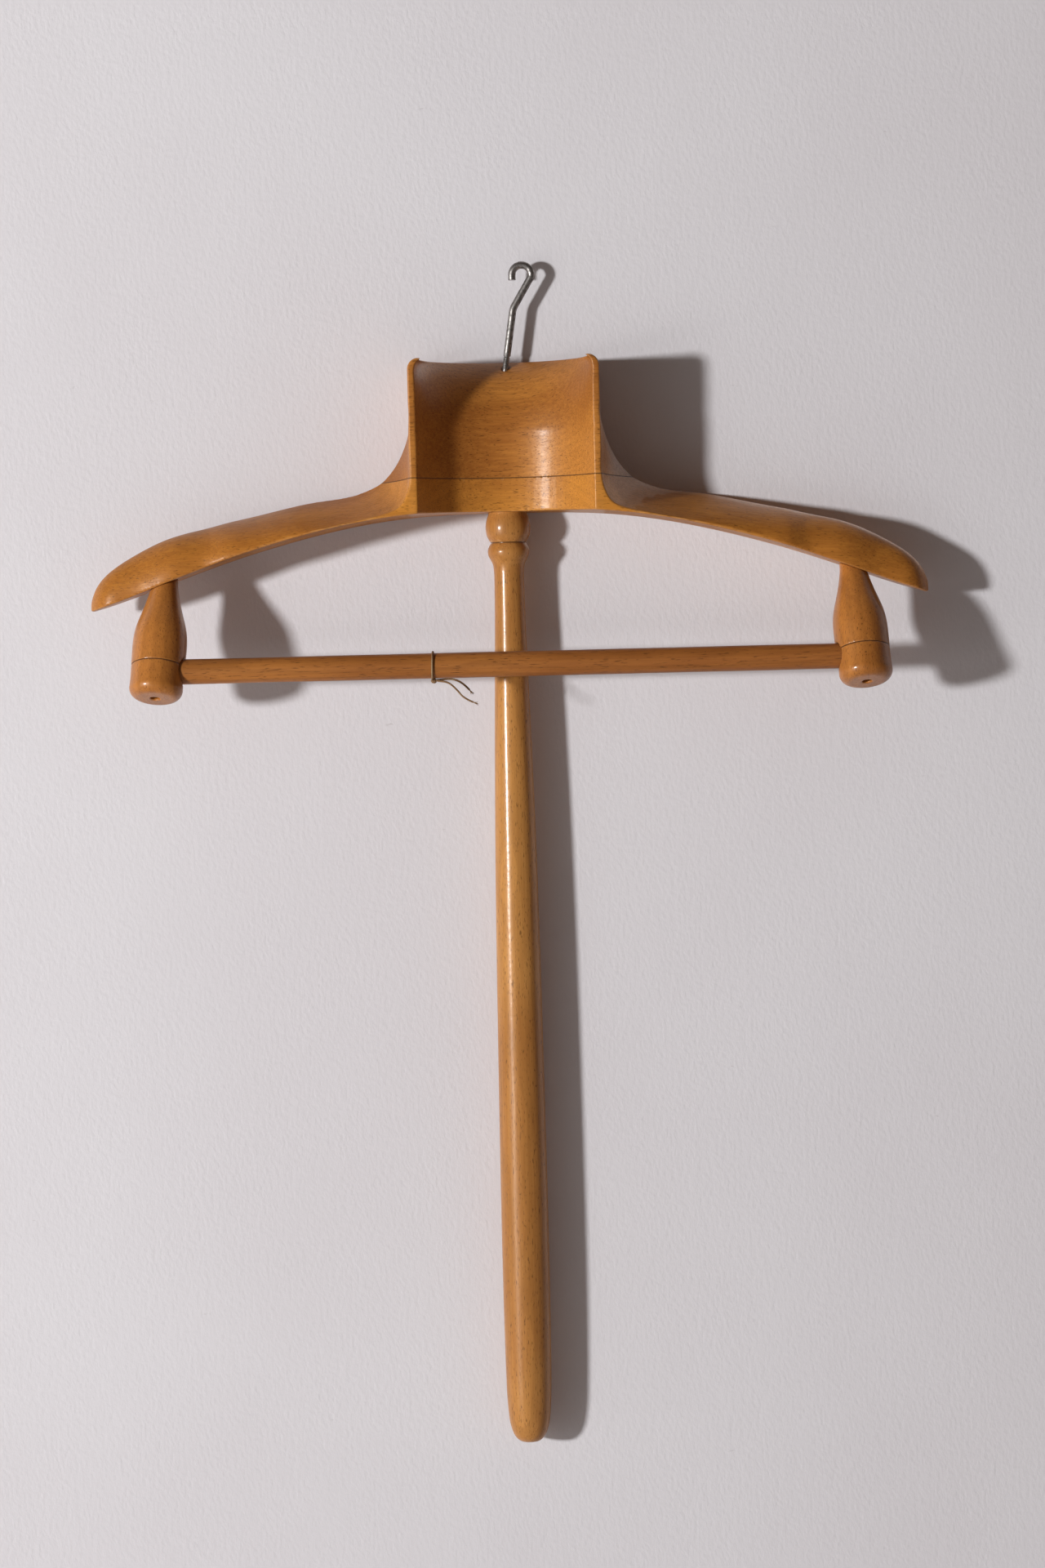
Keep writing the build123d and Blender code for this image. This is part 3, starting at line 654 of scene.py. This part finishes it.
def make_stem():
    """The long turning: ball, cut line, bead, waist, belly and rounded end.

    Each place is a radius and a distance down from the arch, in mm.
    """
    top = [
        (10.15, -1.5), (10.6, 1.2), (11.65, 4.4), (12.15, 8.0), (11.75, 11.8), (10.6, 14.6),
        (9.7, 15.9),
    ]
    bead = [(9.2, 16.5), (10.0, 17.4), (10.95, 19.4), (11.25, 21.4), (10.8, 23.6), (9.6, 25.8)]
    shaft = [
        (9.6, 25.8), (8.5, 28.6), (8.1, 33.0), (8.1, 42.0), (8.3, 56.5), (8.9, 80.0), (9.95, 121.0),
        (10.9, 165.0), (11.6, 210.0), (12.05, 255.0), (12.35, 298.0), (12.65, 345.0), (12.8, 390.0),
        (12.7, 435.0), (12.2, 474.0), (11.3, 490.0), (10.1, 497.0), (8.2, 501.6), (5.6, 504.2),
        (2.6, 504.95), (0.0, 505.0),
    ]
    outline = [Vector((0, -1.5))] + through(top, 6) + through(bead, 6)[:-1] + through(shaft, 8)
    shape = turned([(point.x * MM, ARCH - point.y * MM) for point in outline], steps=96)
    bmesh.ops.translate(shape, verts=shape.verts, vec=(MIDDLE, STEM_AXIS, 0))
    stem = finished(shape, "turned_stem", stem_beech, "frame")
    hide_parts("stem")


def make_posts():
    """Posts and their caps, with a dark seam between them."""
    for side in ("left", "right"):
        for node, name in (("post", "turned_post"), ("post_cap", "turned_cap")):
            node, name = f"{side}_{node}", f"{side}_{name}"
            shape = rounded(merged_copy(node), voxel=0.0005, passes=2)
            piece = finished(shape, name, post_beech, "frame")
            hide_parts(node)


def make_rail():
    """The plain round rail, a little uneven along its length, with rounded ends."""
    half = (bar_high.x - bar_low.x) / 2
    rounding = 1.5 * MM
    unevenness = 0.06 * MM
    end = [
        (BAR_RADIUS - rounding + rounding * sin(a), half - rounding + rounding * cos(a))
        for a in [radians(angle) for angle in range(0, 91, 15)]
    ]
    middle = []
    for step in range(1, 60):
        place = half * (1 - step / 30)
        middle.append((BAR_RADIUS - unevenness * (1 + sin(place * 60) * cos(place * 23)), place))
    lower = [(radius, -height) for radius, height in reversed(end)]
    outline = [(0, half)] + end + middle + lower + [(0, -half)]
    shape = turned(outline[::-1], steps=64)
    level = Matrix.Rotation(radians(90), 3, "Y")
    bmesh.ops.rotate(shape, verts=shape.verts, cent=(0, 0, 0), matrix=level)
    centre = ((bar_low.x + bar_high.x) / 2, BAR_Y, BAR_Z)
    bmesh.ops.translate(shape, verts=shape.verts, vec=centre)
    rail = finished(shape, "round_rail", rail_beech, "rail")
    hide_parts("trouser_bar")


# ---------------------------------------------------------------- hook
def make_hook_thread():
    """The thread that shows between the wood and the shank."""
    pitch, core, crest = 0.0008, 0.00145, 0.00172
    low, high = -0.0025, 0.0044
    outline = [(0, low)]
    turns = int((high - low) / pitch)
    for turn in range(turns):
        outline.append((core, low + turn * pitch))
        outline.append((crest, low + (turn + 0.35) * pitch))
        outline.append((crest, low + (turn + 0.55) * pitch))
    outline += [(core, high), (0, high)]
    shape = turned(outline, steps=24)
    bmesh.ops.rotate(
        shape, verts=shape.verts, cent=(0, 0, 0), matrix=HOOK_UP.to_track_quat("Z", "Y").to_matrix()
    )
    bmesh.ops.translate(shape, verts=shape.verts, vec=HOOK_FOOT)
    finished(shape, "hook_thread", screw_steel, "hook", smooth=False)


# ---------------------------------------------------------------- twine
TIE = Vector((MIDDLE - 0.041, BAR_Y, BAR_Z))  # on the rail's axis, where the twine is tied
TWINE = 1.0 * MM                              # its thickness
TURN = BAR_RADIUS + 0.7 * MM                  # radius of its turn round the rail
TURN_POINTS = 14


def twine_curve(name, routes, thickness):
    """Smooth round strands along routes of points in the row frame."""
    curve = bpy.data.curves.new(name, "CURVE")
    curve.dimensions = "3D"
    curve.bevel_depth = thickness / 2
    curve.bevel_resolution = 3
    curve.resolution_u = 8
    curve.use_fill_caps = True
    for route in routes:
        spline = curve.splines.new("NURBS")
        spline.points.add(len(route) - 1)
        for point, place in zip(spline.points, route):
            point.co = (*place, 1)
        spline.order_u = 3
        spline.use_endpoint_u = True
    curve.materials.append(brown_twine)
    piece = bpy.data.objects.new(name, curve)
    bpy.context.collection.objects.link(piece)
    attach(piece, "rail")
    return piece


def make_twine():
    """One turn round the rail with a knot below it, a long end in front and a short end behind."""
    hold = TURN / cos(pi / TURN_POINTS)
    route = []
    for step in range(TURN_POINTS + 1):
        angle = -pi / 2 + 2 * pi * step / TURN_POINTS
        slant = 1.2 * MM * (step / TURN_POINTS - 0.5)
        route.append(TIE + Vector((slant, -hold * cos(angle), hold * sin(angle))))
    long_end = [
        (3.0, -2.2, -8.2), (8.0, -3.0, -8.8), (12.5, -3.6, -13.0), (16.0, -4.1, -17.6),
        (21.0, -4.5, -19.8),
    ]
    route += [TIE + Vector(point) * MM for point in long_end]
    short_end = [
        (0.4, 1.2, -7.9), (4.5, 2.6, -7.5), (9.0, 3.2, -7.0), (13.0, 3.6, -8.2),
        (16.5, 3.7, -10.6), (19.0, 3.8, -13.4),
    ]
    short_route = [TIE + Vector(point) * MM for point in short_end]
    string = twine_curve("tied_twine", [route], TWINE)
    tail = twine_curve("twine_short_end", [short_route], TWINE * 1.15)
    knot = make_knot()
    fray = make_frayed_ends((route, short_route))
    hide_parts("tie_string")
    return string, route, (tail, knot, fray)


def make_knot():
    """A small overhand knot, as three turns of the twine lying across each other."""
    centre = TIE + Vector((0.0002, -0.0006, -TURN - 0.0006))
    turns = []
    for tilt, width in ((20, 0.0012), (-35, 0.0011), (75, 0.0010)):
        points = []
        for step in range(11):
            angle = 2 * pi * step / 9
            flat = Vector((width * cos(angle), 0.0004 * sin(2 * angle), width * 0.8 * sin(angle)))
            points.append(centre + Matrix.Rotation(radians(tilt), 3, "X") @ flat)
        turns.append(points)
    return twine_curve("twine_knot", turns, TWINE * 0.9)


def make_frayed_ends(routes):
    """Loose fibres spreading from both cut ends."""
    fibres = []
    for route in routes:
        end, along = route[-1], (route[-1] - route[-2]).normalized()
        for index in range(7):
            side = Matrix.Rotation(index * 2.4, 3, along) @ along.orthogonal().normalized()
            reach = 0.0022 + 0.0004 * (index % 3)
            fibres.append([
                end - along * 0.0006,
                end + along * reach * 0.5 + side * 0.0003,
                end + along * reach + side * (0.0005 + 0.0002 * (index % 4)),
            ])
    return twine_curve("twine_fray", fibres, 0.00022)


# ---------------------------------------------------------------- wall, floor, lamps and camera
def flat_stage(name, material, size, turn, place):
    """A large flat surface that belongs to the room."""
    shape = bmesh.new()
    bmesh.ops.create_grid(shape, x_segments=1, y_segments=1, size=size)
    bmesh.ops.rotate(shape, verts=shape.verts, cent=(0, 0, 0), matrix=turn)
    bmesh.ops.translate(shape, verts=shape.verts, vec=place)
    mesh = bpy.data.meshes.new(name)
    shape.to_mesh(mesh)
    shape.free()
    mesh.materials.append(material)
    surface = bpy.data.objects.new(name, mesh)
    bpy.context.collection.objects.link(surface)
    return surface


def make_stage():
    """The wall just behind the flat back, and a floor well below the stem."""
    behind = 0.3 * MM
    wall = flat_stage(
        "wall", wall_paint(), 4.0, Matrix.Rotation(radians(90), 3, "X"), (0, WALL + behind, 0)
    )
    wall.visible_shadow = False
    flat_stage("floor", floor_paint(), 4.0, Matrix.Identity(3), (0, 0, cad_low.z - 0.26))


def lamp(name, place, target, energy, colour, size):
    """A round lamp at a place, facing its target."""
    data = bpy.data.lights.new(name, "AREA")
    data.shape = "DISK"
    data.size = size
    data.energy = energy
    data.color = colour
    light = bpy.data.objects.new(name, data)
    light.location = place
    light.rotation_euler = (Vector(target) - Vector(place)).to_track_quat("-Z", "Y").to_euler()
    bpy.context.collection.objects.link(light)


def make_lamps():
    """One lamp at the left, a dim warm room, and a faint lamp behind for the back."""
    target = Vector((MIDDLE, STEM_AXIS, -0.25))
    slant = radians(44.5)
    distance = 4.0
    key = target + distance * Vector((-sin(slant), -cos(slant), 0.02))
    lamp("key_lamp", key, target, 149, (0.975, 1.0, 1.015), size=0.32)
    lamp("back_lamp", (0.9, 2.2, 0.9), target, 10, (1.0, 0.95, 0.9), size=1.6)
    world = bpy.data.worlds.new("room")
    world.use_nodes = True
    backdrop = world.node_tree.nodes["Background"]
    backdrop.inputs["Color"].default_value = (1.0, 0.78, 0.66, 1)
    backdrop.inputs["Strength"].default_value = 0.085
    bpy.context.scene.world = world
    bpy.context.scene.view_settings.view_transform = "Standard"


def make_camera():
    """A long lens, 2.2 m from the wall, level with the upper stem and looking very slightly down."""
    data = bpy.data.cameras.new("camera")
    data.sensor_fit = "VERTICAL"
    data.sensor_width = 36
    data.sensor_height = 36
    data.lens = 93.52
    camera = bpy.data.objects.new("camera", data)
    camera.location = (MIDDLE + 0.0300, WALL - 2.22, ARCH - 0.0761)
    azimuth, elevation, roll = radians(-0.664), radians(-1.842), radians(-1.409)
    ahead = Vector((sin(azimuth) * cos(elevation), cos(azimuth) * cos(elevation), sin(elevation)))
    level = Vector((cos(azimuth), -sin(azimuth), 0))
    upright = level.cross(ahead)
    right = level * cos(roll) + upright * sin(roll)
    up = upright * cos(roll) - level * sin(roll)
    camera.rotation_euler = Matrix((right, up, -ahead)).transposed().to_euler()
    bpy.context.collection.objects.link(camera)
    bpy.context.scene.camera = camera


# ---------------------------------------------------------------- everything put together
def paint_nodes():
    """Finishes for the CAD nodes that stay."""
    finishes = {
        "collar_dowels": bare_beech,
        "hanging_hook": hook_steel,
        "left_cap_screw": screw_steel,
        "right_cap_screw": screw_steel,
    }
    for node, material in finishes.items():
        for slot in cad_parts[node].material_slots:
            slot.material = material


make_carved_wood()
make_stem()
make_posts()
make_rail()
make_hook_thread()
string, string_route, string_pieces = make_twine()
paint_nodes()
make_stage()
make_lamps()
make_camera()
